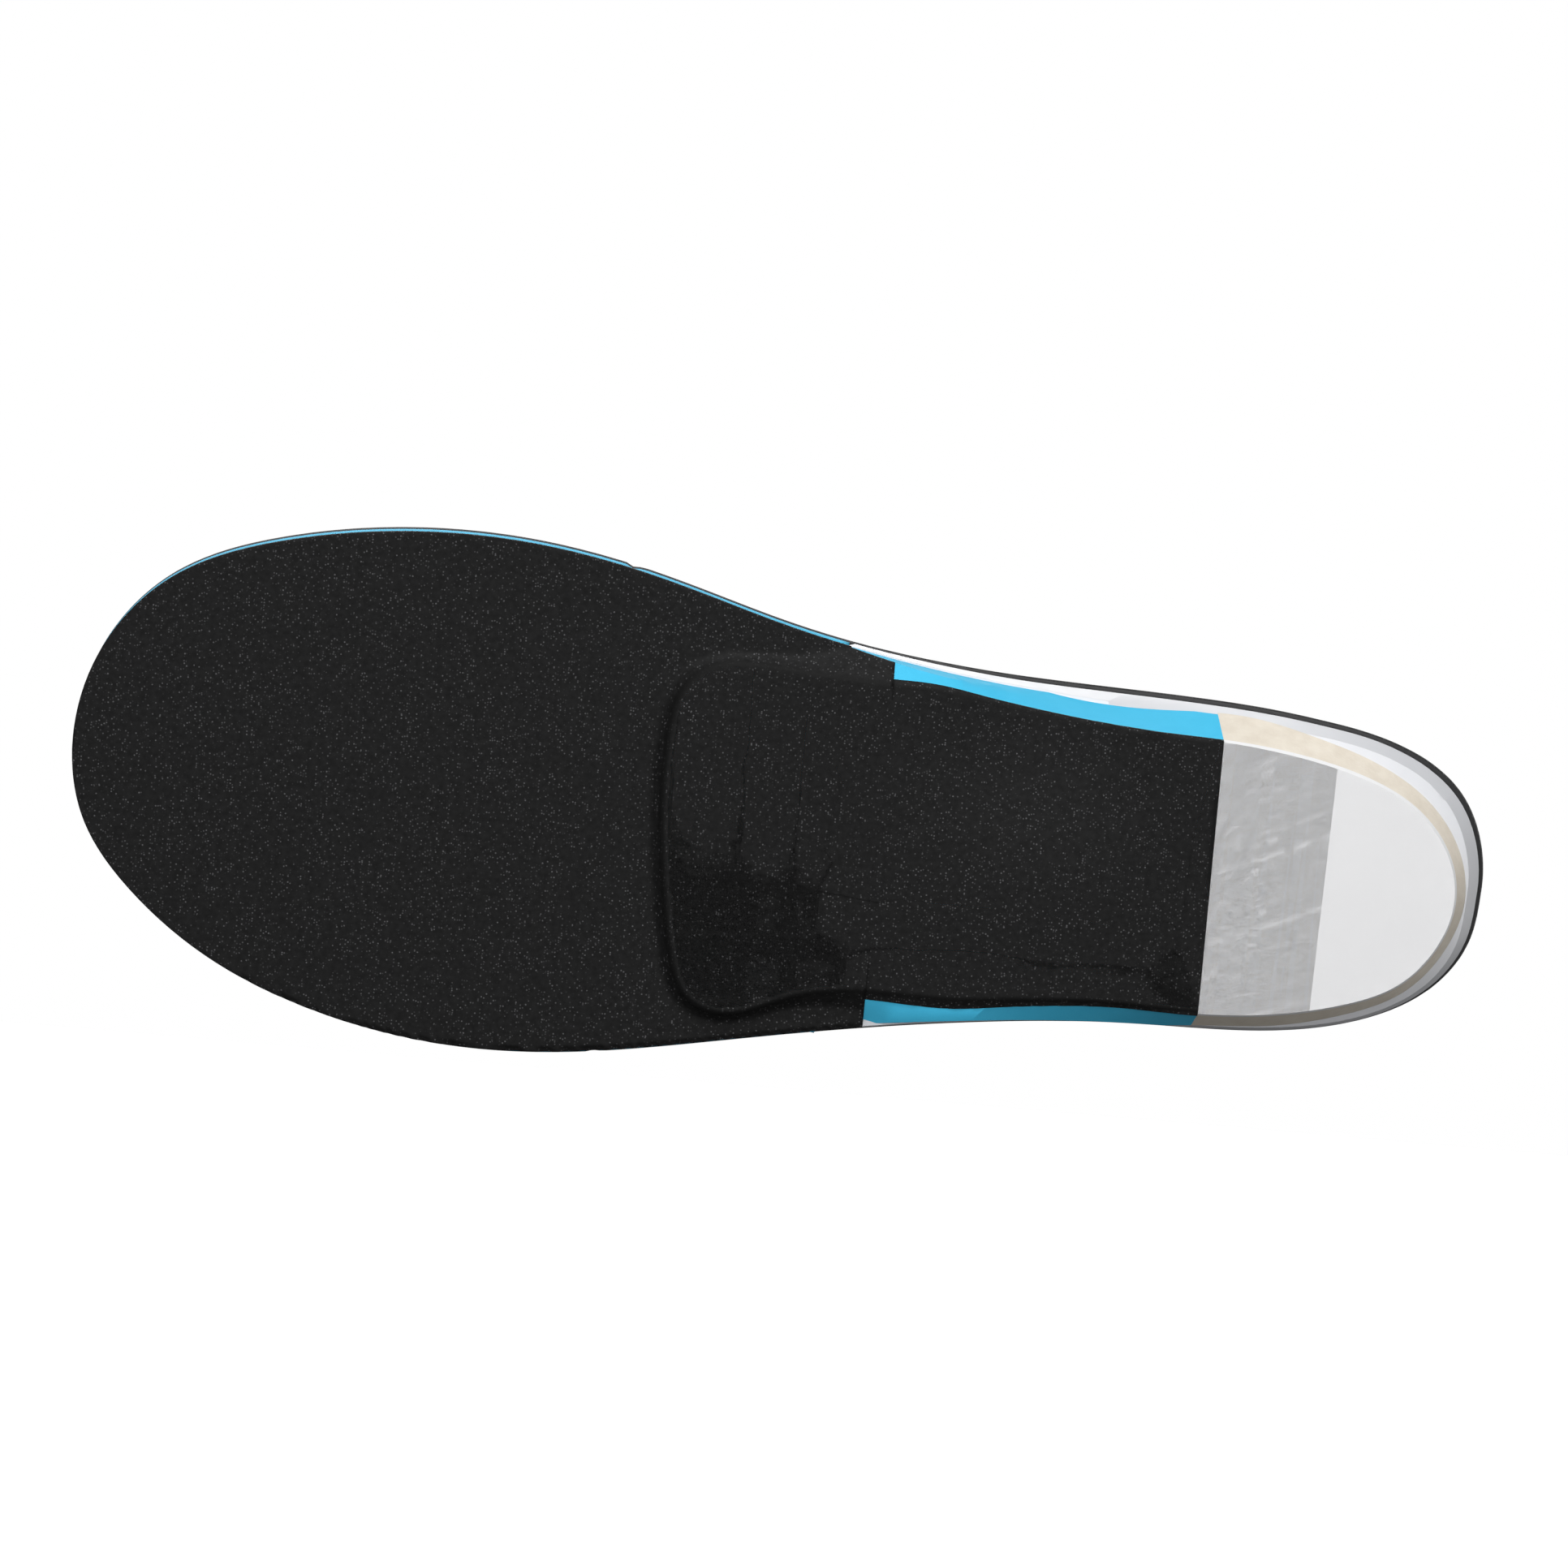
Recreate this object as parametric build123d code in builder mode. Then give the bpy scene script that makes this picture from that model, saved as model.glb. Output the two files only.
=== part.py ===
"""Layered right-foot insole: heel cup shell, heel post, arch fill and a flexible forefoot.

Millimetres. +Z is up when the insole lies in a shoe, the toe is towards -X, the heel towards
+X, the medial (arch) side towards -Y. The origin is the centre of the flat heel base.
"""

from build123d import *
from math import hypot, sqrt, tan, radians
import os

# ---------------------------------------------------------------- driving dimensions
base_thickness = 1.0        # bottom cover, and the heel cap level with it
shell_thickness = 3.0
foam_thickness = 2.0
fabric_thickness = 0.8
forefoot_lift = 2.0         # underside of the forefoot above the heel base
cover_stack = foam_thickness + fabric_thickness
shell_side_height = 7.3     # top of the covers down to the lower edge of the shell's side
fill_setback = 0.1          # the fill stops this far inside that edge

shell_flat = forefoot_lift + base_thickness     # underside of the shell where it is flat
bed_flat = shell_flat + shell_thickness         # its top there
heel_bed_rise = 0.5                             # the heel seat above the flat forefoot

cup_rise = 9.2              # shell edge above the heel seat
cup_reach = 20.0            # how far in from the edge the cup wall curves
cup_power = 3.77
arch_rise = 11.2            # medial arch flange above the cup wall
arch_reach = 32.0
arch_power = 2.2
arch_hollow = 3.0           # the fill's underside lifts this much along the medial side

post_front = -23.0          # front face of the heel post, at the base
post_lean = 6.0             # degrees that the face leans towards the toe going up
notch_x = -86.5             # the bottom cover is full width ahead of this
strip_end_medial = -95.0    # the flat strip of cover beside the plateau ends here
strip_end_lateral = -86.5

toe_axis = -136.0           # the forefoot flexes about a line across the foot here
toe_gap = 0.3
relief_angle = 12.0         # the front layers lean away from the rear ones by this much

tool_depth = 60.0           # length of the blocks that the layers are cut from
tool_span = 400.0

# Outline of the rim, heel rear first, then the medial side to the toe and the lateral side
# back: x, y and the outward lean of the side below it (run over rise).
rim_stations = [
    (31.5, -0.5, 0.40),
    (28.6, -13.0, 0.36),
    (20.8, -22.0, 0.27),
    (7.8, -28.2, 0.21),
    (-9.0, -31.1, 0.20),
    (-32.0, -32.1, 0.20),
    (-58.0, -32.6, 0.14),
    (-85.0, -36.0, 0.05),
    (-110.0, -42.0, 0.0),
    (-135.0, -49.1, 0.0),
    (-158.0, -53.0, 0.0),
    (-182.0, -53.0, 0.0),
    (-205.0, -49.0, 0.0),
    (-225.0, -40.2, 0.0),
    (-237.0, -25.5, 0.0),
    (-241.0, -8.0, 0.0),
    (-237.8, 7.5, 0.0),
    (-228.6, 19.6, 0.0),
    (-212.0, 32.0, 0.0),
    (-190.0, 41.2, 0.08),
    (-167.0, 45.8, 0.18),
    (-142.0, 45.4, 0.22),
    (-115.0, 41.0, 0.22),
    (-88.5, 36.2, 0.22),
    (-60.0, 32.9, 0.25),
    (-35.0, 31.9, 0.25),
    (-10.0, 31.9, 0.26),
    (8.5, 28.6, 0.28),
    (21.2, 22.0, 0.31),
    (29.0, 12.0, 0.36),
]

# Bottom edge of the post and the fill, in the same order but round the shell's front edge:
# x, y, and the run and the height of the side wall up to the shell.
foot_stations = [
    (23.5, -1.5, 4.4, 9.7),
    (20.6, -10.2, 4.5, 9.7),
    (14.4, -16.9, 4.6, 9.7),
    (4.5, -21.8, 4.8, 9.7),
    (-8.0, -24.9, 4.7, 9.9),
    (-22.8, -26.7, 4.1, 10.6),
    (-40.0, -27.1, 3.7, 14.0),
    (-56.0, -27.6, 3.6, 15.0),
    (-72.0, -28.9, 4.2, 12.3),
    (-87.0, -30.8, 4.9, 8.0),
    (-99.0, -32.8, 4.2, 4.3),
    (-110.0, -34.5, 2.5, 2.4),
    (-119.0, -34.0, 2.0, 2.0),
    (-125.2, -29.6, 2.0, 2.0),
    (-128.2, -19.0, 2.0, 2.0),
    (-128.2, -3.0, 2.0, 2.0),
    (-126.6, 11.0, 2.0, 2.0),
    (-124.4, 23.0, 2.0, 2.0),
    (-120.4, 31.4, 2.0, 2.0),
    (-112.5, 34.4, 2.2, 2.2),
    (-100.0, 31.6, 5.8, 3.0),
    (-87.0, 27.9, 7.5, 3.6),
    (-72.0, 26.4, 7.3, 4.4),
    (-56.0, 25.5, 6.8, 6.0),
    (-40.0, 25.0, 5.9, 7.8),
    (-22.8, 25.9, 4.6, 9.2),
    (-8.0, 24.7, 5.0, 9.6),
    (4.5, 21.8, 5.0, 9.7),
    (14.4, 17.2, 4.8, 9.7),
    (20.6, 10.0, 4.6, 9.7),
]

# Plan outline of the shell ahead of the notch; behind it the shell runs out to the rim.
shell_front_points = [
    (-84.0, -42.0),
    (-91.0, -38.8),
    (-98.0, -37.4),
    (-110.0, -37.0),
    (-120.5, -35.8),
    (-127.2, -30.4),
    (-130.2, -19.4),
    (-130.2, -3.2),
    (-128.6, 11.3),
    (-126.3, 23.8),
    (-121.8, 33.0),
    (-112.5, 36.6),
    (-98.0, 36.4),
    (-91.0, 38.4),
    (-84.0, 42.0),
]


# ---------------------------------------------------------------- shape functions
def smoothstep(share):
    """0 below 0, 1 above 1, and a smooth S between."""
    share = min(1.0, max(0.0, share))
    return share * share * (3.0 - 2.0 * share)


def edge_curve(distance, reach, power):
    """1 at the edge, falling to 0 at `reach` inside it, and straight on outside."""
    if distance < 0.0:
        return 1.0 - power * distance / reach
    return max(0.0, 1.0 - distance / reach) ** power


def inward_normal(stations, index):
    """Unit normal at one station of an outline that runs heel, medial, toe, lateral."""
    before = stations[index - 1]
    after = stations[(index + 1) % len(stations)]
    run_x = after[0] - before[0]
    run_y = after[1] - before[1]
    length = hypot(run_x, run_y)
    return run_y / length, -run_x / length


def moved_in(stations, index, inset):
    """A station's point moved in from the outline by `inset`."""
    normal_x, normal_y = inward_normal(stations, index)
    x, y = stations[index][:2]
    return x + normal_x * inset, y + normal_y * inset


def bed_at(x, y, distance):
    """Height of the shell's top face; `distance` is how far (x, y) is inside the rim."""
    lateral = smoothstep((y + 12.0) / 24.0)
    medial_cup = smoothstep((x + 70.0) / 60.0)
    lateral_cup = smoothstep((x + 110.0) / 105.0) ** 1.6
    cup = medial_cup * (1.0 - lateral) + lateral_cup * lateral
    arch = smoothstep(-x / 60.0) * smoothstep((x + 115.0) / 55.0) * (1.0 - lateral)
    seat = bed_flat + heel_bed_rise * smoothstep((x + 120.0) / 100.0)
    wall = cup_rise * cup * edge_curve(distance, cup_reach, cup_power)
    flange = arch_rise * arch * edge_curve(distance, arch_reach, arch_power)
    return seat + wall + flange


def rim_outline(height):
    """Points of the ground side of the shell and the covers at one height."""
    points = []
    for index, (x, y, lean) in enumerate(rim_stations):
        rim_height = bed_at(x, y, 0.0) + cover_stack
        points.append(moved_in(rim_stations, index, lean * (rim_height - height)))
    return points


def shell_lower_edge():
    """Plan points a little inside the lower edge of the shell's side."""
    points = []
    for index, (_, _, lean) in enumerate(rim_stations):
        points.append(moved_in(rim_stations, index, lean * shell_side_height + fill_setback))
    return points


def foot_outline(height):
    """Points of the ground side of the post and the fill at one height."""
    points = []
    for index, (x, y, run, rise) in enumerate(foot_stations):
        points.append(moved_in(foot_stations, index, -run * height / rise))
    return points


def surface_grid(height_at):
    """A net of points over the whole foot, closer together where the heel cup curves."""
    rows = [-248.0 + 22.4 * step for step in range(5)]
    rows += [-136.0 + 5.2 * step for step in range(25)]
    rows += [-6.0 + 1.95 * step for step in range(23)]
    columns = 37
    net = []
    for x in rows:
        half_width = 35.5 + 22.0 * smoothstep((-55.0 - x) / 85.0)
        middle = -3.6 * smoothstep((-60.0 - x) / 80.0)
        row = []
        for column in range(columns):
            y = middle + half_width * (2.0 * column / (columns - 1) - 1.0)
            row.append((x, y, height_at(x, y)))
        net.append(row)
    return net


# ---------------------------------------------------------------- the two faces of the shell
with BuildSketch() as rim_sketch:
    with BuildLine():
        Spline(*[station[:2] for station in rim_stations], periodic=True)
    make_face()

rim_face = rim_sketch.face()
rim_wire = rim_face.outer_wire()


def distance_inside(x, y):
    """Distance from the rim outline, negative outside it."""
    point = Vector(x, y, 0.0)
    distance = rim_wire.distance_to(point)
    return distance if rim_face.is_inside(point) else -distance


def bed_height(x, y):
    """Top face of the shell and of the forefoot extension."""
    return bed_at(x, y, distance_inside(x, y))


def shell_under_height(x, y):
    """Underside of the shell: the top face, one thickness away along its normal."""
    step = 0.25
    slope_x = (bed_height(x + step, y) - bed_height(x - step, y)) / (2.0 * step)
    slope_y = (bed_height(x, y + step) - bed_height(x, y - step)) / (2.0 * step)
    return bed_height(x, y) - shell_thickness * sqrt(1.0 + slope_x**2 + slope_y**2)


def fill_under_height(x, y):
    """Underside of the arch fill: flat, and hollowed along the medial side."""
    along = smoothstep((x + 94.0) / 38.0) * smoothstep((-26.0 - x) / 30.0)
    across = smoothstep((8.0 - y) / 38.0)
    return base_thickness + arch_hollow * along * across


def smooth_face(height_at):
    """One cubic face through the net."""
    net = surface_grid(height_at)
    return Face.make_surface_from_array_of_points(net, tol=0.05, min_deg=3, max_deg=3)


bed_surface = smooth_face(bed_height)
shell_under_surface = smooth_face(shell_under_height)
fill_under_surface = smooth_face(fill_under_height)

# Blocks that fill the space below each face.
with BuildPart() as below_bed:
    extrude(to_extrude=bed_surface, amount=tool_depth, dir=(0, 0, -1))

with BuildPart() as below_shell:
    extrude(to_extrude=shell_under_surface, amount=tool_depth, dir=(0, 0, -1))

with BuildPart() as below_fill:
    extrude(to_extrude=fill_under_surface, amount=tool_depth, dir=(0, 0, -1))


def lifted(tool, height):
    """A copy of a cutting block, moved up."""
    return tool.part.moved(Location((0, 0, height)))


# ---------------------------------------------------------------- the ground side walls
hull_low = -2.0
hull_high = 26.0

with BuildPart() as rim_hull:
    for level in (hull_low, hull_high):
        with BuildSketch(Plane.XY.offset(level)):
            with BuildLine():
                Spline(*rim_outline(level), periodic=True)
            make_face()
    loft(ruled=True)

# The fill stays inside the lower edge of the shell's side.
with BuildPart() as shell_edge_prism:
    with BuildSketch(Plane.XY.offset(hull_low)):
        with BuildLine():
            Spline(*shell_lower_edge(), periodic=True)
        make_face()
    extrude(amount=hull_high - hull_low)

with BuildPart() as foot_hull:
    for level in (hull_low, hull_high):
        with BuildSketch(Plane.XY.offset(level)):
            with BuildLine():
                Spline(*foot_outline(level), periodic=True)
            make_face()
    loft(ruled=True)

# Plan shape of the shell, wider than the rim behind the notch.
with BuildPart() as shell_plan:
    with BuildSketch(Plane.XY.offset(hull_low)):
        with BuildLine():
            front = Spline(*shell_front_points)
            Polyline(front @ 1, (-60.0, 60.0), (60.0, 60.0), (60.0, -60.0), (-60.0, -60.0), front @ 0)
        make_face()
    extrude(amount=hull_high - hull_low)

# Space ahead of the post's leaning front face.
post_face_plane = Plane(origin=(post_front, 0, 0), z_dir=(1, 0, tan(radians(post_lean))))

with BuildPart() as ahead_of_post:
    with BuildSketch(post_face_plane):
        Rectangle(tool_span, tool_span)
    extrude(amount=-tool_span)


# ---------------------------------------------------------------- rigid rear half
with BuildPart() as shell:
    add(rim_hull.part)
    add(below_bed.part, mode=Mode.INTERSECT)
    add(below_shell.part, mode=Mode.SUBTRACT)
    add(shell_plan.part, mode=Mode.INTERSECT)

with BuildPart() as heel_post:
    add(foot_hull.part)
    add(below_shell.part, mode=Mode.INTERSECT)
    add(ahead_of_post.part, mode=Mode.SUBTRACT)
    split(bisect_by=Plane.XY.offset(base_thickness), keep=Keep.TOP)

with BuildPart() as heel_cap:
    add(foot_hull.part)
    add(ahead_of_post.part, mode=Mode.SUBTRACT)
    split(bisect_by=Plane.XY.offset(base_thickness), keep=Keep.BOTTOM)
    split(bisect_by=Plane.XY, keep=Keep.TOP)

# The fill and the bottom cover share one envelope, and the cover is its skin.
with BuildPart() as covered_fill:
    add(foot_hull.part)
    add(shell_edge_prism.part, mode=Mode.INTERSECT)
    add(below_shell.part, mode=Mode.INTERSECT)
    add(lifted(below_fill, -base_thickness), mode=Mode.SUBTRACT)
    add(ahead_of_post.part, mode=Mode.INTERSECT)

# Ahead of the notch the cover wraps the fill's sides; behind it the fill's sides are bare.
with BuildPart() as fill_core:
    add(lifted(foot_hull, base_thickness))
    split(bisect_by=Plane.YZ.offset(notch_x), keep=Keep.BOTTOM)

with BuildPart() as wrapped_fill:
    add(covered_fill.part)
    add(fill_core.part, mode=Mode.INTERSECT)

with BuildPart() as arch_fill:
    add(covered_fill.part)
    split(bisect_by=Plane.YZ.offset(notch_x), keep=Keep.TOP)
    add(wrapped_fill.part)
    add(below_fill.part, mode=Mode.SUBTRACT)


# ---------------------------------------------------------------- layers of the whole foot
with BuildPart() as bed_block:
    add(rim_hull.part)
    add(below_bed.part, mode=Mode.INTERSECT)

with BuildPart() as forefoot_extension:
    add(bed_block.part)
    add(below_shell.part, mode=Mode.SUBTRACT)
    add(shell_plan.part, mode=Mode.SUBTRACT)

bed_face = bed_block.faces().filter_by(lambda face: face.normal_at().Z > 0.5)[0]

with BuildPart() as top_foam:
    extrude(to_extrude=bed_face, amount=foam_thickness, dir=(0, 0, 1))

with BuildPart() as top_fabric:
    foam_face = bed_face.moved(Location((0, 0, foam_thickness)))
    extrude(to_extrude=foam_face, amount=fabric_thickness, dir=(0, 0, 1))

# The flat sheet under the extension. Its strips beside the plateau end at cut lines.
with BuildPart() as strip_ends:
    with BuildSketch(Plane.XY.offset(hull_low)):
        with Locations((strip_end_medial, 0)):
            Rectangle(tool_span, tool_span, align=(Align.MIN, Align.MAX))
        with Locations((strip_end_lateral, 0)):
            Rectangle(tool_span, tool_span, align=(Align.MIN, Align.MIN))
    extrude(amount=hull_high - hull_low)

with BuildPart() as forefoot_sheet:
    add(rim_hull.part)
    add(below_shell.part, mode=Mode.INTERSECT)
    add(lifted(below_shell, -base_thickness), mode=Mode.SUBTRACT)
    add(strip_ends.part, mode=Mode.SUBTRACT)
    add(covered_fill.part, mode=Mode.SUBTRACT)

with BuildPart() as bottom_cover:
    add(covered_fill.part)
    add(arch_fill.part, mode=Mode.SUBTRACT)
    add(forefoot_sheet.part)


# ---------------------------------------------------------------- halves about the toe axis
rear_face = Plane.YZ.offset(toe_axis)
front_face = Plane(
    origin=(toe_axis - toe_gap, 0, bed_flat + cover_stack),
    z_dir=(1, 0, -tan(radians(relief_angle))),
)


def rear_half(layer):
    """The part of a layer on the shell's side of the toe axis."""
    with BuildPart() as half:
        add(layer.part)
        split(bisect_by=rear_face, keep=Keep.TOP)
    return half.part


def front_half(layer):
    """The part of a layer that swings with the toes."""
    with BuildPart() as half:
        add(layer.part)
        split(bisect_by=front_face, keep=Keep.BOTTOM)
    return half.part


pieces = {
    "shell": shell.part,
    "arch_fill": arch_fill.part,
    "heel_post": heel_post.part,
    "heel_cap": heel_cap.part,
}
layers = {
    "top_fabric": top_fabric,
    "top_foam": top_foam,
    "forefoot_extension": forefoot_extension,
    "bottom_cover": bottom_cover,
}
for layer_name, layer in layers.items():
    pieces[layer_name + "_rear"] = rear_half(layer)
    pieces[layer_name + "_front"] = front_half(layer)

os.makedirs("parts", exist_ok=True)
for piece_name, piece in pieces.items():
    piece.label = piece_name
    export_step(piece, f"parts/{piece_name}.step")
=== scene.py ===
"""Looks of the layered insole: sheet pieces as smooth meshes, materials, light and camera."""

import math

import bmesh
import bpy
import numpy as np
from mathutils import Matrix, Vector
from mathutils.bvhtree import BVHTree


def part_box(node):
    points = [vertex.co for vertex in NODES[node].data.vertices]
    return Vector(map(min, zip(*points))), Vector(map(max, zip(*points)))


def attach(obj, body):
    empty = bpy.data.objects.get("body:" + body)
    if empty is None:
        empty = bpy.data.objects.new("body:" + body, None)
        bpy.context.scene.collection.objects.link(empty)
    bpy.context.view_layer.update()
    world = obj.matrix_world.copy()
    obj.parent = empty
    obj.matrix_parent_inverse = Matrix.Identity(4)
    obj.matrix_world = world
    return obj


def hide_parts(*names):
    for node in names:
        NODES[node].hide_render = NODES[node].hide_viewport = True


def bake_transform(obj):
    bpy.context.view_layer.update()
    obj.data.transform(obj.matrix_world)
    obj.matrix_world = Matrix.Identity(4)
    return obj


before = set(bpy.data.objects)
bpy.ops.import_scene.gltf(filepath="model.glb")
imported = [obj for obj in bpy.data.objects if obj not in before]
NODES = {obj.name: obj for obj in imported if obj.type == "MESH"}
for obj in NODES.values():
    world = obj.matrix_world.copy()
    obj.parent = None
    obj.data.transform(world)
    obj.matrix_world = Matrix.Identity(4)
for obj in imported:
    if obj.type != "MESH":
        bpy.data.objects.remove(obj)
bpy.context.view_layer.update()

MM = 0.001

# ---------------------------------------------------------------- camera
CAMERA_TILT = math.radians(9.0)     # towards the medial side, from straight below
CAMERA_ROLL = math.radians(5.0)     # the heel sits a little lower in the picture
CAMERA_DISTANCE = 1.66
CAMERA_AIM = Vector((-0.1055, -0.0106, 0.005))
CAMERA_LENS = 200.0

# ---------------------------------------------------------------- sizes of the sheets
RAY_START = 0.2                 # rays start this far above or below the insole
BISECTIONS = 20
SEARCH_STEP = 0.1 * MM          # how finely an edge is searched for a face to measure
SEARCH_LIMIT = 8.0 * MM
SLOPE_SPAN = 1.0 * MM
TOE_GAP = (-0.1380, -0.1358)    # where the CAD has its gap at the toe axis
LONG_STATIONS = 300
ROWS = 84
FOAM_THICKNESS = 2.0 * MM
FABRIC_THICKNESS = 0.8 * MM
COVER_THICKNESS = 1.0 * MM
EDGE_RADIUS = 0.22 * MM
INSOLE_WIDTH = 0.101

EDGE_TURNS = (30.0, 60.0, 90.0)     # degrees round a sheet's edge, from flat to upright
SAME_POINT = 1e-6               # points closer together than this are one point
TINY = 1e-9                     # keeps a division away from zero
INTO_SPINE = (-0.200, 0.0)      # the part of the spine that edges are led back to
SPINE_HEEL = (0.0315, -0.0005)
SPINE_SLOPE = 0.0275

# Outward lean of the ground side, run over rise: start, length of the change, full lean.
MEDIAL_LEAN = (-0.100, 0.050, 0.20)
LATERAL_LEAN = (-0.205, 0.040, 0.23)
HEEL_LEAN = (0.004, 0.026, 0.18)
MIDDLE_BAND = (-0.012, 0.024)   # start and width of the change from medial to lateral

REAR_BODY = "rearfoot"


# ---------------------------------------------------------------- reading the CAD
def joined_tree(*names):
    """One ray-casting tree over several CAD nodes."""
    points = []
    faces = []
    for name in names:
        mesh = NODES[name].data
        start = len(points)
        points += [vertex.co.copy() for vertex in mesh.vertices]
        faces += [[start + index for index in face.vertices] for face in mesh.polygons]
    return BVHTree.FromPolygons(points, faces)


def past_gap(x):
    """A place along the foot, moved off the gap between the rear and front solids."""
    return TOE_GAP[1] if TOE_GAP[0] < x < TOE_GAP[1] else x


def top_height(tree, x, y):
    """Height of the uppermost face over a point, or None beside the node."""
    hit = tree.ray_cast(Vector((past_gap(x), y, RAY_START)), Vector((0, 0, -1)))[0]
    return None if hit is None else hit.z


def bottom_height(tree, x, y):
    """Height of the lowest face over a point, or None beside the node."""
    hit = tree.ray_cast(Vector((past_gap(x), y, -RAY_START)), Vector((0, 0, 1)))[0]
    return None if hit is None else hit.z


def edge_between(tree, inside, outside):
    """Plan point where a node ends between a point on it and one beside it."""
    inside = np.array(inside, float)
    outside = np.array(outside, float)
    for _ in range(BISECTIONS):
        middle = 0.5 * (inside + outside)
        if top_height(tree, *middle) is None:
            outside = middle
        else:
            inside = middle
    return inside


def carried_on(height, tree, point, inward):
    """A face's height at a plan point, carried on in a straight line beyond its edge."""
    found = height(tree, *point)
    if found is not None:
        return found
    for step in np.arange(SEARCH_STEP, SEARCH_LIMIT, SEARCH_STEP):
        for direction in (inward, towards_spine(point)):
            found = height(tree, *(point + direction * step))
            further = height(tree, *(point + direction * (step + SLOPE_SPAN)))
            if found is not None and further is not None:
                return found + (found - further) * step / SLOPE_SPAN
    raise ValueError(f"no face within {SEARCH_LIMIT} m of {point}")


def spine(x):
    """A line along the middle of the foot."""
    return SPINE_HEEL[1] + (x - SPINE_HEEL[0]) * SPINE_SLOPE


def towards_spine(point):
    """Direction from a plan point to the nearest inner part of the spine."""
    x = min(max(point[0], INTO_SPINE[0]), INTO_SPINE[1])
    run = np.array((x, spine(x))) - point
    return run / max(np.linalg.norm(run), TINY)


# ---------------------------------------------------------------- building sheets
def grid_border(stations, rows):
    """Grid places round the border of a sheet, in order."""
    border = [(i, 0) for i in range(stations)]
    border += [(stations - 1, j) for j in range(1, rows)]
    border += [(i, rows - 1) for i in range(stations - 2, -1, -1)]
    border += [(0, j) for j in range(rows - 2, 0, -1)]
    return border


def next_apart(loop, k, step):
    """Place of the next point along a loop that doesn't coincide with point k."""
    other = (k + step) % len(loop)
    while np.linalg.norm(loop[other] - loop[k]) < SAME_POINT:
        other = (other + step) % len(loop)
    return other


def outward_normals(loop):
    """Plan normals of a closed loop of points, some of which may coincide."""
    normals = np.zeros_like(loop)
    middle = loop.mean(axis=0)
    area = 0.0
    for k in range(len(loop)):
        run = loop[next_apart(loop, k, 1)] - loop[next_apart(loop, k, -1)]
        normals[k] = np.array((run[1], -run[0])) / max(np.linalg.norm(run), TINY)
        here = loop[k] - middle
        there = loop[(k + 1) % len(loop)] - middle
        area += here[0] * there[1] - here[1] * there[0]
    return normals if area > 0 else -normals


def rows_between(first, last, rows):
    """Rows of points spread evenly between two lines of points."""
    share = np.linspace(0.0, 1.0, rows)[None, :, None]
    return first[:, None, :] * (1.0 - share) + last[:, None, :] * share


def plan_grid(stations, rows, border, loop):
    """Plan points between the long sides of a loop, with the loop as the grid's border."""
    place = {where: k for k, where in enumerate(border)}
    first = np.array([loop[place[(i, 0)]] for i in range(stations)])
    last = np.array([loop[place[(i, rows - 1)]] for i in range(stations)])
    grid = rows_between(first, last, rows)
    for (i, j), k in place.items():
        grid[i, j] = loop[k]
    return grid


def face_vertices(mesh, plan, height, inward):
    """Rows of vertices over a plan grid, at the heights of one face of a sheet."""
    corners = []
    for i in range(plan.shape[0]):
        row = []
        for j in range(plan.shape[1]):
            point = plan[i, j]
            towards = inward[(i, j)] if (i, j) in inward else towards_spine(point)
            row.append(mesh.verts.new((*point, height(point, towards))))
        corners.append(row)
    return corners


def edge_rings(mesh, face_border, loop, normals, lean, side, radius, turns):
    """Rings of vertices that round a face's border. side is 1 for the upper face, -1 below."""
    heights = np.array([vertex.co.z for vertex in face_border])
    rings = []
    for turn in turns:
        out = radius * (math.sin(math.radians(turn)) - 1.0)
        drop = radius * (1.0 - math.cos(math.radians(turn)))
        points = loop + normals * (lean + out)[:, None]
        ring = zip(points, heights - side * drop)
        rings.append([mesh.verts.new((*point, z)) for point, z in ring])
    return rings


def add_faces(mesh, faces, rings):
    """Faces over both grids of a sheet and between the rings of its edge."""
    for corners in faces:
        for near, far in zip(corners, corners[1:]):
            for j in range(len(near) - 1):
                mesh.faces.new((near[j], far[j], far[j + 1], near[j + 1]))
    for upper, lower in zip(rings, rings[1:]):
        for k in range(len(upper)):
            after = (k + 1) % len(upper)
            mesh.faces.new((upper[k], upper[after], lower[after], lower[k]))


def new_piece(name, mesh):
    """An object in the scene with a mesh's smooth-shaded faces."""
    for face in mesh.faces:
        face.smooth = True
    data = bpy.data.meshes.new(name)
    mesh.to_mesh(data)
    mesh.free()
    piece = bpy.data.objects.new(name, data)
    bpy.context.scene.collection.objects.link(piece)
    return piece


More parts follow.
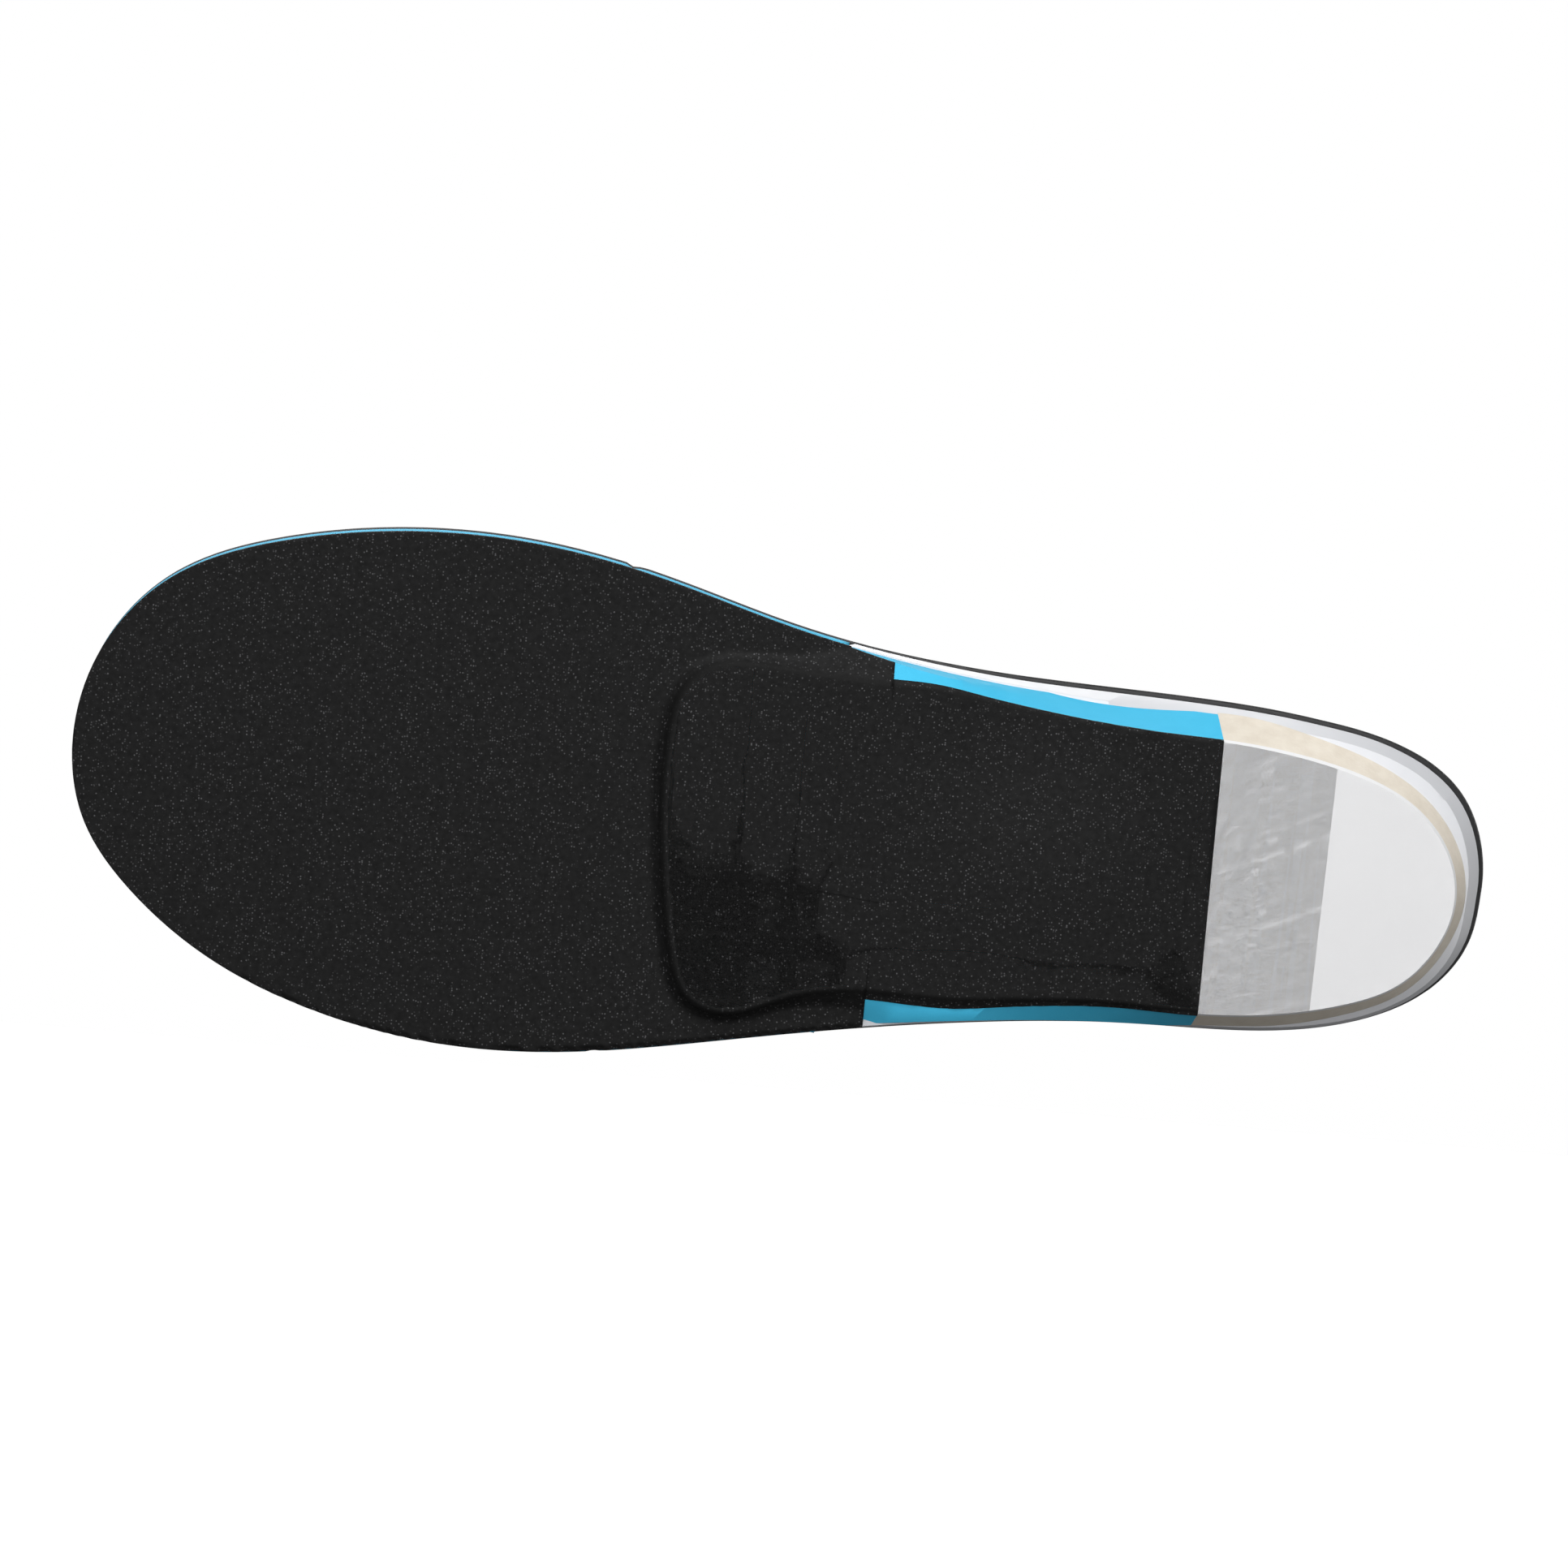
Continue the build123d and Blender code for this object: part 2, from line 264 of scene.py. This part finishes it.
def sheet_mesh(name, side_a, side_b, rows, top, bottom, lean=None, radius=EDGE_RADIUS):
    """A closed sheet between two sides, with rounded edges.

    top and bottom give a height for a plan point and its inward direction. lean gives how
    far the edge stands out at the bottom and at the top, for a plan point of the edge.
    """
    side_a = np.array(side_a, float)
    side_b = np.array(side_b, float)
    border = grid_border(len(side_a), rows)
    flat = rows_between(side_a, side_b, rows)
    loop = np.array([flat[place] for place in border])
    normals = outward_normals(loop)
    inward = {place: -normals[k] for k, place in enumerate(border)}
    leans = np.array([lean(*point) if lean else (0.0, 0.0) for point in loop])
    low_lean = leans[:, 0]
    high_lean = leans[:, 1]

    mesh = bmesh.new()
    faces = []
    for height, leaning in ((top, high_lean), (bottom, low_lean)):
        inset = loop + normals * (leaning - radius)[:, None]
        plan = plan_grid(len(side_a), rows, border, inset)
        faces.append(face_vertices(mesh, plan, height, inward))
    upper, lower = [[corners[i][j] for i, j in border] for corners in faces]
    rings = [upper]
    rings += edge_rings(mesh, upper, loop, normals, high_lean, 1.0, radius, EDGE_TURNS)
    rings += edge_rings(mesh, lower, loop, normals, low_lean, -1.0, radius, EDGE_TURNS[::-1])
    rings.append(lower)
    add_faces(mesh, faces, rings)
    bmesh.ops.remove_doubles(mesh, verts=mesh.verts, dist=SAME_POINT)
    bmesh.ops.recalc_face_normals(mesh, faces=mesh.faces)
    return new_piece(name, mesh)


# ---------------------------------------------------------------- the insole's plan
def spread_stations(start, end, count):
    """Places from start to end, closer together at both ends."""
    angles = np.linspace(0.0, math.pi, count)
    return start + (end - start) * 0.5 * (1.0 - np.cos(angles))


def plan_sides(tree, stations):
    """The medial and lateral edge of a node's plan at each station."""
    medial = []
    lateral = []
    for x in stations:
        middle = (x, spine(x))
        medial.append(edge_between(tree, middle, (x, -INSOLE_WIDTH)))
        lateral.append(edge_between(tree, middle, (x, INSOLE_WIDTH)))
    return np.array(medial), np.array(lateral)


def smoothstep(share):
    """0 below 0, 1 above 1, and a smooth S between."""
    share = min(1.0, max(0.0, share))
    return share * share * (3.0 - 2.0 * share)


def lean_along(x, lean):
    """One side's lean at a place along the foot."""
    start, length, full = lean
    return full * smoothstep((x - start) / length)


def side_lean(x, y):
    """Outward lean of the ground side, run over rise."""
    start, width = MIDDLE_BAND
    lateral = smoothstep((y - start) / width)
    medial_part = lean_along(x, MEDIAL_LEAN) * (1.0 - lateral)
    return medial_part + lean_along(x, LATERAL_LEAN) * lateral + lean_along(x, HEEL_LEAN)


top_tree = joined_tree("top_fabric_rear", "top_fabric_front")
foam_tree = joined_tree("top_foam_rear", "top_foam_front")
cover_tree = joined_tree("bottom_cover_rear", "bottom_cover_front")
under_tree = joined_tree("shell", "forefoot_extension_rear", "forefoot_extension_front")

heel_x = max(vertex.co.x for vertex in NODES["top_fabric_rear"].data.vertices)
toe_x = min(vertex.co.x for vertex in NODES["top_fabric_front"].data.vertices)
TIP_GAP = 0.01 * MM
insole_stations = spread_stations(heel_x - TIP_GAP, toe_x + TIP_GAP, LONG_STATIONS)
medial_edge, lateral_edge = plan_sides(top_tree, insole_stations)


def bed_top(point, inward):
    """Top of the fabric."""
    return carried_on(top_height, top_tree, point, inward)


def fabric_under(point, inward):
    return bed_top(point, inward) - FABRIC_THICKNESS


def foam_under(point, inward):
    return bed_top(point, inward) - FABRIC_THICKNESS - FOAM_THICKNESS


def fabric_lean(x, y):
    lean = side_lean(x, y)
    return lean * FOAM_THICKNESS, lean * (FOAM_THICKNESS + FABRIC_THICKNESS)


def foam_lean(x, y):
    return 0.0, side_lean(x, y) * FOAM_THICKNESS


top_fabric = sheet_mesh(
    "top_fabric", medial_edge, lateral_edge, ROWS, bed_top, fabric_under, lean=fabric_lean
)
top_foam = sheet_mesh(
    "top_foam", medial_edge, lateral_edge, ROWS, fabric_under, foam_under, lean=foam_lean
)

# ---------------------------------------------------------------- forefoot extension
ARM_END = -0.0945
SHELL_MIDDLE = np.array((-0.105, -0.002))
EXTENSION_THICKNESS = 3.0 * MM
EXTENSION_ROWS = 24
BESIDE_RIM = 0.1 * MM

shell_tree = joined_tree("shell")
ahead = medial_edge[:, 0] < ARM_END
outer_edge = np.concatenate([medial_edge[ahead], lateral_edge[ahead][::-1]])
inner_edge = np.array([edge_between(shell_tree, SHELL_MIDDLE, point) for point in outer_edge])


def extension_under(point, inward):
    return carried_on(bottom_height, under_tree, point, inward)


def extension_lean(x, y):
    to_rim = np.min(np.hypot(outer_edge[:, 0] - x, outer_edge[:, 1] - y))
    low = -side_lean(x, y) * EXTENSION_THICKNESS if to_rim < BESIDE_RIM else 0.0
    return low, 0.0


extension = sheet_mesh(
    "forefoot_extension", outer_edge, inner_edge, EXTENSION_ROWS, foam_under, extension_under,
    lean=extension_lean,
)

# ---------------------------------------------------------------- bottom cover
NOTCH_X = -0.0865
STRIP_END = -0.095
POST_FRONT = -0.0231
CUT_GAP = 0.01 * MM
FIELD_STEP = 0.4 * MM
FIELD_BLUR = 0.75           # in field steps
BLUR_REACH = 3              # in field steps
SPREAD_PASSES = 14          # how many field steps the heights spread beyond the cover
FAR_HEIGHT = 2.0 * MM       # underside height where nothing was measured
SIDE_STEPS = ((1, 0), (-1, 0), (0, 1), (0, -1))
COVER_ROWS = 150
COVER_STEP = 0.6 * MM
COVER_RADIUS = 0.15 * MM
TOE_STATIONS = 340
CUT_CLEARANCE = 0.2 * MM
FULL_CREASE = 0.10 * MM     # bend over one field step that counts as a full crease for the painted crease shade


def cover_stations():
    """Places along the cover, with a pair at each cut across it."""
    toe = spread_stations(toe_x + TIP_GAP, 2.0 * TOE_GAP[0] - toe_x, TOE_STATIONS)
    places = [x for x in toe if x < TOE_GAP[0]]
    places += list(np.arange(TOE_GAP[1], POST_FRONT - COVER_STEP, COVER_STEP))
    for cut in (STRIP_END, NOTCH_X):
        places = [x for x in places if abs(x - cut) > CUT_CLEARANCE]
        places += [cut - CUT_GAP, cut + CUT_GAP]
    return sorted(places + [POST_FRONT])


def measured_heights(tree, xs, ys):
    """Underside heights on a net, with nan beside the node."""
    field = np.full((len(xs), len(ys)), np.nan)
    for i, x in enumerate(xs):
        for j, y in enumerate(ys):
            found = bottom_height(tree, x, y)
            if found is not None:
                field[i, j] = found
    return field


def spread_outwards(field):
    """A net's known heights carried into the places beside them."""
    for _ in range(SPREAD_PASSES):
        known = np.isfinite(field)
        total = np.zeros_like(field)
        count = np.zeros_like(field)
        for shift in SIDE_STEPS:
            total += np.roll(np.where(known, field, 0.0), shift, (0, 1))
            count += np.roll(known, shift, (0, 1))
        fresh = ~known & (count > 0)
        field[fresh] = total[fresh] / count[fresh]
    return np.where(np.isfinite(field), field, FAR_HEIGHT)


def softened(field):
    """A net's heights, blurred along and across."""
    reach = np.arange(-BLUR_REACH, BLUR_REACH + 1)
    weight = np.exp(-0.5 * (reach / FIELD_BLUR) ** 2)
    weight /= weight.sum()
    for axis in (0, 1):
        field = sum(w * np.roll(field, r, axis) for w, r in zip(weight, reach))
    return field


def height_field(tree, low, high):
    """Underside heights on an even net, spread into the gaps and softened."""
    xs = np.arange(low[0], high[0] + FIELD_STEP, FIELD_STEP)
    ys = np.arange(low[1], high[1] + FIELD_STEP, FIELD_STEP)
    field = spread_outwards(measured_heights(tree, xs, ys))
    return xs, ys, softened(field)


def field_at(net, x, y):
    """A net's value at a plan point, between its nearest four."""
    xs, ys, field = net
    u = min(max((x - xs[0]) / FIELD_STEP, 0.0), len(xs) - 1.001)
    v = min(max((y - ys[0]) / FIELD_STEP, 0.0), len(ys) - 1.001)
    i, j = int(u), int(v)
    u -= i
    v -= j
    low = field[i, j] * (1.0 - u) + field[i + 1, j] * u
    high = field[i, j + 1] * (1.0 - u) + field[i + 1, j + 1] * u
    return low * (1.0 - v) + high * v


rear_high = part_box("bottom_cover_rear")[1]
front_low, front_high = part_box("bottom_cover_front")
net_high = (rear_high[0], max(front_high[1], rear_high[1]))
under_net = height_field(cover_tree, front_low, net_high)
cover_x = cover_stations()
cover_medial, cover_lateral = plan_sides(cover_tree, cover_x)


def cover_under(point, inward):
    return field_at(under_net, *point)


def cover_top(point, inward):
    return field_at(under_net, *point) + COVER_THICKNESS


bottom_cover = sheet_mesh(
    "bottom_cover", cover_medial, cover_lateral, COVER_ROWS, cover_top, cover_under,
    radius=COVER_RADIUS,
)

# How sharply the cover turns at each point, kept for the painted shade that darkens its creases.
xs, ys, field = under_net
bend = sum(np.roll(field, s, a) for s, a in ((1, 0), (-1, 0), (1, 1), (-1, 1))) - 4.0 * field
bend_net = (xs, ys, np.clip(bend / FULL_CREASE, -1.0, 1.0))
crease_shade = bottom_cover.data.attributes.new("crease_shade", "FLOAT", "POINT")
crease_shade.data.foreach_set(
    "value", [field_at(bend_net, v.co.x, v.co.y) for v in bottom_cover.data.vertices]
)


# ---------------------------------------------------------------- foam blocks
FLAT_ANGLE = math.radians(0.5)      # faces closer than this to one plane are joined
BEVEL_ANGLE = math.radians(30.0)    # foam edges sharper than this are rounded
SHARP_ANGLE = math.radians(40.0)    # edges that stay sharp in the shading
BEVEL_SEGMENTS = 3
FOAM_BEVELS = {"arch_fill": 0.25 * MM, "heel_post": 0.20 * MM}
PLASTIC_BEVELS = {"shell": 0.35 * MM, "heel_cap": 0.15 * MM}


def weighted_normals(piece):
    modifier = piece.modifiers.new("weighted", "WEIGHTED_NORMAL")
    modifier.keep_sharp = True


def bevelled_copy(node):
    """A CAD node's mesh with its edges softened, as a foam piece."""
    mesh = bmesh.new()
    mesh.from_mesh(NODES[node].data)
    bmesh.ops.remove_doubles(mesh, verts=mesh.verts, dist=SAME_POINT)
    bmesh.ops.dissolve_limit(mesh, angle_limit=FLAT_ANGLE, verts=mesh.verts, edges=mesh.edges)
    bmesh.ops.bevel(
        mesh, geom=[e for e in mesh.edges if e.is_manifold and e.calc_face_angle() > BEVEL_ANGLE],
        offset=FOAM_BEVELS[node], segments=BEVEL_SEGMENTS, profile=0.5, affect="EDGES",
        clamp_overlap=True,
    )
    bmesh.ops.triangulate(mesh, faces=[f for f in mesh.faces if len(f.verts) > 4])
    for edge in mesh.edges:
        edge.smooth = not edge.is_manifold or edge.calc_face_angle() < SHARP_ANGLE
    piece = new_piece(f"{node}_foam", mesh)
    weighted_normals(piece)
    return piece


def soften_node(node, width):
    """Rounds the edges of a CAD node that is kept as it is."""
    weld = node.modifiers.new("weld", "WELD")
    weld.merge_threshold = SAME_POINT
    bevel = node.modifiers.new("bevel", "BEVEL")
    bevel.width = width
    bevel.segments = BEVEL_SEGMENTS
    bevel.limit_method = "ANGLE"
    bevel.angle_limit = SHARP_ANGLE
    weighted_normals(node)
    for polygon in node.data.polygons:
        polygon.use_smooth = True


arch_fill = bevelled_copy("arch_fill")
heel_post = bevelled_copy("heel_post")
for name, width in PLASTIC_BEVELS.items():
    soften_node(NODES[name], width)


# ---------------------------------------------------------------- materials
MIX_INPUTS = (0, 6, 7)      # a mix node's sockets for colour: factor, first, second
MIX_RESULT = 2
FLECK_COLOUR = (0.13, 0.13, 0.135, 1.0)


def new_material(name):
    """An empty material: its nodes, links, shader and object coordinates."""
    material = bpy.data.materials.new(name)
    material.use_nodes = True
    nodes = material.node_tree.nodes
    shader = nodes["Principled BSDF"]
    coordinates = nodes.new("ShaderNodeTexCoord")
    return material, nodes, material.node_tree.links, shader, coordinates.outputs["Object"]


def noise(nodes, links, vector, scale, detail=2.0, roughness=0.5):
    """A soft random pattern."""
    node = nodes.new("ShaderNodeTexNoise")
    node.inputs["Scale"].default_value = scale
    node.inputs["Detail"].default_value = detail
    node.inputs["Roughness"].default_value = roughness
    links.new(vector, node.inputs["Vector"])
    return node.outputs["Fac"]


def ramp(nodes, links, factor, stops):
    """Colours between stops of (place, colour)."""
    node = nodes.new("ShaderNodeValToRGB")
    elements = node.color_ramp.elements
    while len(elements) < len(stops):
        elements.new(0.5)
    for element, (place, colour) in zip(elements, stops):
        element.position = place
        element.color = (*colour, 1.0)
    links.new(factor, node.inputs["Fac"])
    return node.outputs["Color"]


def bump(nodes, links, shader, height, strength, distance):
    """Fine relief from a pattern."""
    node = nodes.new("ShaderNodeBump")
    node.inputs["Strength"].default_value = strength
    node.inputs["Distance"].default_value = distance
    links.new(height, node.inputs["Height"])
    links.new(node.outputs["Normal"], shader.inputs["Normal"])


def colour_mix(nodes, blend_type="MIX"):
    """A colour mix node, with its factor, its two colours and its result."""
    node = nodes.new("ShaderNodeMix")
    node.data_type = "RGBA"
    node.blend_type = blend_type
    factor, first, second = (node.inputs[place] for place in MIX_INPUTS)
    return factor, first, second, node.outputs[MIX_RESULT]


def map_range(nodes, links, value, source, target=(0.0, 1.0)):
    """A value moved from one range to another."""
    node = nodes.new("ShaderNodeMapRange")
    node.inputs["From Min"].default_value = source[0]
    node.inputs["From Max"].default_value = source[1]
    node.inputs["To Min"].default_value = target[0]
    node.inputs["To Max"].default_value = target[1]
    links.new(value, node.inputs["Value"])
    return node.outputs["Result"]


def cover_material():
    """Matt black sheet with fine pale flecks, and painted shade darkening its creases."""
    material, nodes, links, shader, place = new_material("bottom_cover")
    flecks = nodes.new("ShaderNodeTexVoronoi")
    flecks.feature = "F1"
    flecks.inputs["Scale"].default_value = 2100.0
    links.new(place, flecks.inputs["Vector"])
    keep = nodes.new("ShaderNodeSeparateColor")
    links.new(flecks.outputs["Color"], keep.inputs["Color"])
    near = map_range(nodes, links, flecks.outputs["Distance"], (0.10, 0.42), (1.0, 0.0))
    chosen = map_range(nodes, links, keep.outputs["Red"], (0.55, 1.0))
    both = nodes.new("ShaderNodeMath")
    both.operation = "MULTIPLY"
    links.new(near, both.inputs[0])
    links.new(chosen, both.inputs[1])
    grain = ramp(nodes, links, noise(nodes, links, place, 900.0), [
        (0.30, (0.0025, 0.0025, 0.0026)), (0.70, (0.0085, 0.0085, 0.0087)),
    ])
    amount, ground, fleck, specked = colour_mix(nodes)
    fleck.default_value = FLECK_COLOUR
    links.new(both.outputs["Value"], amount)
    links.new(grain, ground)
    # Painted shade: the colour is darkened where the cover bends into a crease.
    crease_shade = nodes.new("ShaderNodeAttribute")
    crease_shade.attribute_name = "crease_shade"
    painted_crease_shade = map_range(nodes, links, crease_shade.outputs["Fac"], (0.15, 0.8), (1.0, 0.15))
    amount, plain, shade, shaded = colour_mix(nodes, "MULTIPLY")
    amount.default_value = 1.0
    links.new(specked, plain)
    links.new(painted_crease_shade, shade)
    links.new(shaded, shader.inputs["Base Color"])
    shader.inputs["Roughness"].default_value = 0.72
    shader.inputs["Specular IOR Level"].default_value = 0.25
    bump(nodes, links, shader, noise(nodes, links, place, 1600.0, 3.0), 0.35, 0.05 * MM)
    return material


def foam_material(name, low, high, pore_scale=2600.0, strength=0.25, roughness=0.75):
    """Closed-cell foam, ground smooth, with fine pores."""
    material, nodes, links, shader, place = new_material(name)
    cloud = noise(nodes, links, place, 320.0, 4.0, 0.6)
    colour = ramp(nodes, links, cloud, [(0.25, low), (0.75, high)])
    links.new(colour, shader.inputs["Base Color"])
    shader.inputs["Roughness"].default_value = roughness
    shader.inputs["Specular IOR Level"].default_value = 0.3
    pores = nodes.new("ShaderNodeTexVoronoi")
    pores.inputs["Scale"].default_value = pore_scale
    links.new(place, pores.inputs["Vector"])
    bump(nodes, links, shader, pores.outputs["Distance"], strength, 0.04 * MM)
    return material


def plastic_material(name, low, high, roughness):
    """Satin sheet plastic with faint cloudiness and grinding marks."""
    material, nodes, links, shader, place = new_material(name)
    colour = ramp(nodes, links, noise(nodes, links, place, 60.0, 3.0), [(0.3, low), (0.7, high)])
    links.new(colour, shader.inputs["Base Color"])
    cloud = noise(nodes, links, place, 400.0, 4.0)
    rough = map_range(nodes, links, cloud, (0.0, 1.0), (roughness - 0.06, roughness + 0.08))
    links.new(rough, shader.inputs["Roughness"])
    bump(nodes, links, shader, noise(nodes, links, place, 1800.0, 3.0), 0.12, 0.02 * MM)
    return material


def knit_material():
    """Fine black knit: rows of loops as relief, with a soft sheen."""
    material, nodes, links, shader, place = new_material("top_fabric")
    waves = []
    for direction in ("X", "Y"):
        wave = nodes.new("ShaderNodeTexWave")
        wave.bands_direction = direction
        wave.inputs["Scale"].default_value = 500.0
        wave.inputs["Distortion"].default_value = 1.2
        wave.inputs["Detail"].default_value = 1.0
        wave.inputs["Detail Scale"].default_value = 0.6
        links.new(place, wave.inputs["Vector"])
        waves.append(wave.outputs["Fac"])
    loops = nodes.new("ShaderNodeMath")
    loops.operation = "MULTIPLY"
    links.new(waves[0], loops.inputs[0])
    links.new(waves[1], loops.inputs[1])
    colour = ramp(nodes, links, loops.outputs["Value"], [
        (0.0, (0.006, 0.006, 0.0065)), (1.0, (0.022, 0.022, 0.023)),
    ])
    links.new(colour, shader.inputs["Base Color"])
    shader.inputs["Roughness"].default_value = 0.85
    shader.inputs["Specular IOR Level"].default_value = 0.2
    shader.inputs["Sheen Weight"].default_value = 0.15
    shader.inputs["Sheen Roughness"].default_value = 0.4
    bump(nodes, links, shader, loops.outputs["Value"], 0.6, 0.12 * MM)
    return material


materials = {
    "bottom_cover": cover_material(),
    "top_fabric": knit_material(),
    "top_foam": foam_material(
        "top_foam", (0.016, 0.016, 0.017), (0.034, 0.034, 0.036), 1500.0, 0.6, 0.85
    ),
    "blue_foam": foam_material("blue_foam", (0.055, 0.515, 0.80), (0.065, 0.545, 0.84)),
    "tan_foam": foam_material("tan_foam", (0.72, 0.65, 0.55), (0.82, 0.76, 0.66), 1900.0, 0.5, 0.8),
    "shell_white": plastic_material("shell_white", (0.70, 0.71, 0.74), (0.74, 0.75, 0.78), 0.42),
    "cap_white": plastic_material("cap_white", (0.86, 0.86, 0.87), (0.88, 0.88, 0.89), 0.5),
}


def paint(piece, slot):
    """Gives a piece its one material."""
    piece.data.materials.clear()
    piece.data.materials.append(materials[slot])


for piece, slot in (
    (top_fabric, "top_fabric"),
    (top_foam, "top_foam"),
    (extension, "blue_foam"),
    (bottom_cover, "bottom_cover"),
    (arch_fill, "blue_foam"),
    (heel_post, "tan_foam"),
    (NODES["shell"], "shell_white"),
    (NODES["heel_cap"], "cap_white"),
):
    paint(piece, slot)

# ---------------------------------------------------------------- what moves with what
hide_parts("top_fabric_rear", "top_fabric_front")
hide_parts("top_foam_rear", "top_foam_front")
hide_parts("forefoot_extension_rear", "forefoot_extension_front")
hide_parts("bottom_cover_rear", "bottom_cover_front")
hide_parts("arch_fill")
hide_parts("heel_post")
for piece in (top_fabric, top_foam, extension, bottom_cover):
    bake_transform(piece)
for piece in (arch_fill, heel_post):
    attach(piece, REAR_BODY)

# ---------------------------------------------------------------- camera object
def add_camera():
    """The scene's camera, under the insole and turned to the medial side."""
    roll = CAMERA_ROLL
    tilt = CAMERA_TILT
    right = Vector((math.cos(roll), -math.sin(roll), 0.0))
    up = Vector((-math.sin(roll) * math.cos(tilt), -math.cos(roll) * math.cos(tilt), math.sin(tilt)))
    back = right.cross(up)
    data = bpy.data.cameras.new("camera")
    data.lens = CAMERA_LENS
    data.sensor_width = 36.0
    data.clip_start = 0.05
    data.clip_end = 50.0
    camera = bpy.data.objects.new("camera", data)
    axes = Matrix((right, up, back)).transposed()
    place = Matrix.Translation(CAMERA_AIM + back * CAMERA_DISTANCE)
    camera.matrix_world = place @ axes.to_4x4()
    bpy.context.scene.collection.objects.link(camera)
    bpy.context.scene.camera = camera


add_camera()

# ---------------------------------------------------------------- stage and light
FLOOR_SIZE = 6.0
WALL_Y = 0.0475
FLOOR_GREY = 0.70
FLOOR_GLOW = 0.62
WORLD_LIGHT = 0.10
CENTRE = (-0.1, 0.0, 0.0)


def one_sided_material():
    """Pale, and seen only by the camera and only from its front."""
    material = bpy.data.materials.new("pale_floor")
    material.use_nodes = True
    nodes = material.node_tree.nodes
    links = material.node_tree.links
    nodes.remove(nodes["Principled BSDF"])
    diffuse = nodes.new("ShaderNodeBsdfDiffuse")
    diffuse.inputs["Color"].default_value = (FLOOR_GREY, FLOOR_GREY, FLOOR_GREY, 1.0)
    glow = nodes.new("ShaderNodeEmission")
    glow.inputs["Strength"].default_value = FLOOR_GLOW
    pale = nodes.new("ShaderNodeAddShader")
    links.new(diffuse.outputs["BSDF"], pale.inputs[0])
    links.new(glow.outputs["Emission"], pale.inputs[1])
    clear = nodes.new("ShaderNodeBsdfTransparent")
    rays = nodes.new("ShaderNodeLightPath")
    geometry = nodes.new("ShaderNodeNewGeometry")
    front = nodes.new("ShaderNodeMath")
    front.operation = "SUBTRACT"
    links.new(rays.outputs["Is Camera Ray"], front.inputs[0])
    links.new(geometry.outputs["Backfacing"], front.inputs[1])
    front.use_clamp = True
    mix = nodes.new("ShaderNodeMixShader")
    links.new(front.outputs["Value"], mix.inputs["Fac"])
    links.new(clear.outputs["BSDF"], mix.inputs[1])
    links.new(pale.outputs["Shader"], mix.inputs[2])
    links.new(mix.outputs["Shader"], nodes["Material Output"].inputs["Surface"])
    return material


def stage_plane(name, corners, material):
    """A flat part of the surroundings, not of the insole."""
    data = bpy.data.meshes.new(name)
    data.from_pydata(corners, [], [range(4)])
    plane = bpy.data.objects.new(name, data)
    plane.data.materials.append(material)
    bpy.context.scene.collection.objects.link(plane)


half = 0.5 * FLOOR_SIZE
pale = one_sided_material()
stage_plane("floor", [(-half, -half, 0), (half, -half, 0), (half, half, 0), (-half, half, 0)], pale)
stage_plane(
    "side_floor",
    [(-half, WALL_Y, -half), (half, WALL_Y, -half), (half, WALL_Y, 0), (-half, WALL_Y, 0)],
    pale,
)


def area_light(name, place, size, power):
    """A round soft light, turned to the middle of the insole."""
    data = bpy.data.lights.new(name, "AREA")
    data.shape = "DISK"
    data.size = size
    data.energy = power
    light = bpy.data.objects.new(name, data)
    direction = Vector(CENTRE) - Vector(place)
    light.rotation_euler = direction.to_track_quat("-Z", "Y").to_euler()
    light.location = place
    bpy.context.scene.collection.objects.link(light)


area_light("key_medial", (-0.15, -1.1, -0.7), 0.8, 13.0)
area_light("front_soft", (0.05, -0.45, -1.35), 0.9, 9.5)
area_light("above", (-0.3, -0.5, 1.4), 1.0, 11.0)
area_light("heel_side", (1.2, 0.35, 0.6), 0.8, 3.5)


def add_world():
    """White behind everything, with a weak even light from all sides."""
    world = bpy.data.worlds.new("studio")
    bpy.context.scene.world = world
    world.use_nodes = True
    nodes = world.node_tree.nodes
    links = world.node_tree.links
    soft = nodes["Background"]
    soft.inputs["Strength"].default_value = WORLD_LIGHT
    white = nodes.new("ShaderNodeBackground")
    white.inputs["Strength"].default_value = 1.0
    for background in (soft, white):
        background.inputs["Color"].default_value = (1.0, 1.0, 1.0, 1.0)
    rays = nodes.new("ShaderNodeLightPath")
    mix = nodes.new("ShaderNodeMixShader")
    links.new(rays.outputs["Is Camera Ray"], mix.inputs["Fac"])
    links.new(soft.outputs["Background"], mix.inputs[1])
    links.new(white.outputs["Background"], mix.inputs[2])
    links.new(mix.outputs["Shader"], nodes["World Output"].inputs["Surface"])


add_world()
bpy.context.scene.view_settings.view_transform = "Standard"
